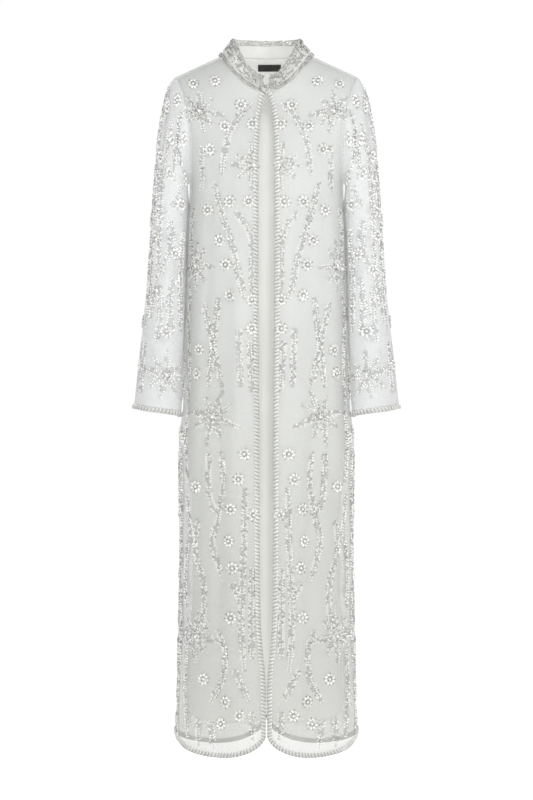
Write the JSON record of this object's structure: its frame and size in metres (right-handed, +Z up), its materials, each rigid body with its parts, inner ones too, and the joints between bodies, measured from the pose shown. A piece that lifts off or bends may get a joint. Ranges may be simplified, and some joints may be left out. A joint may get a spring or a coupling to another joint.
{
  "type": "kaftan",
  "caption": "Ankle-length open kaftan of beaded sheer net over a plain lining, with a stand collar, long sleeves and a scalloped hem, filled out as if worn.",
  "frame": {"origin": "the middle of the neck, level with the points where the shoulder seams meet the collar", "axes": "+Z up along the wearer, -Y to the front, +X to the wearer's left"},
  "size_m": [0.5244, 0.2607, 1.3886],
  "materials": {
    "net": "sheer ivory net with silver-white beads",
    "lining": "plain white satin, slightly glossy",
    "beadwork": "close rows of silver-white beads",
    "label": "black woven tape"
  },
  "bodies": {
    "root": {"front_left": "net", "front_right": "net", "back": "net", "sleeve_left": "net", "sleeve_right": "net", "collar": "net", "lining_front_left": "lining", "lining_front_right": "lining", "lining_back": "lining", "collar_braid": "beadwork", "edge_braid_left": "beadwork", "edge_braid_right": "beadwork", "hem_braid_back": "beadwork", "cuff_braid_left": "beadwork", "cuff_braid_right": "beadwork", "closing_tab": "beadwork", "neck_label": "label"}
  },
  "joints": []
}
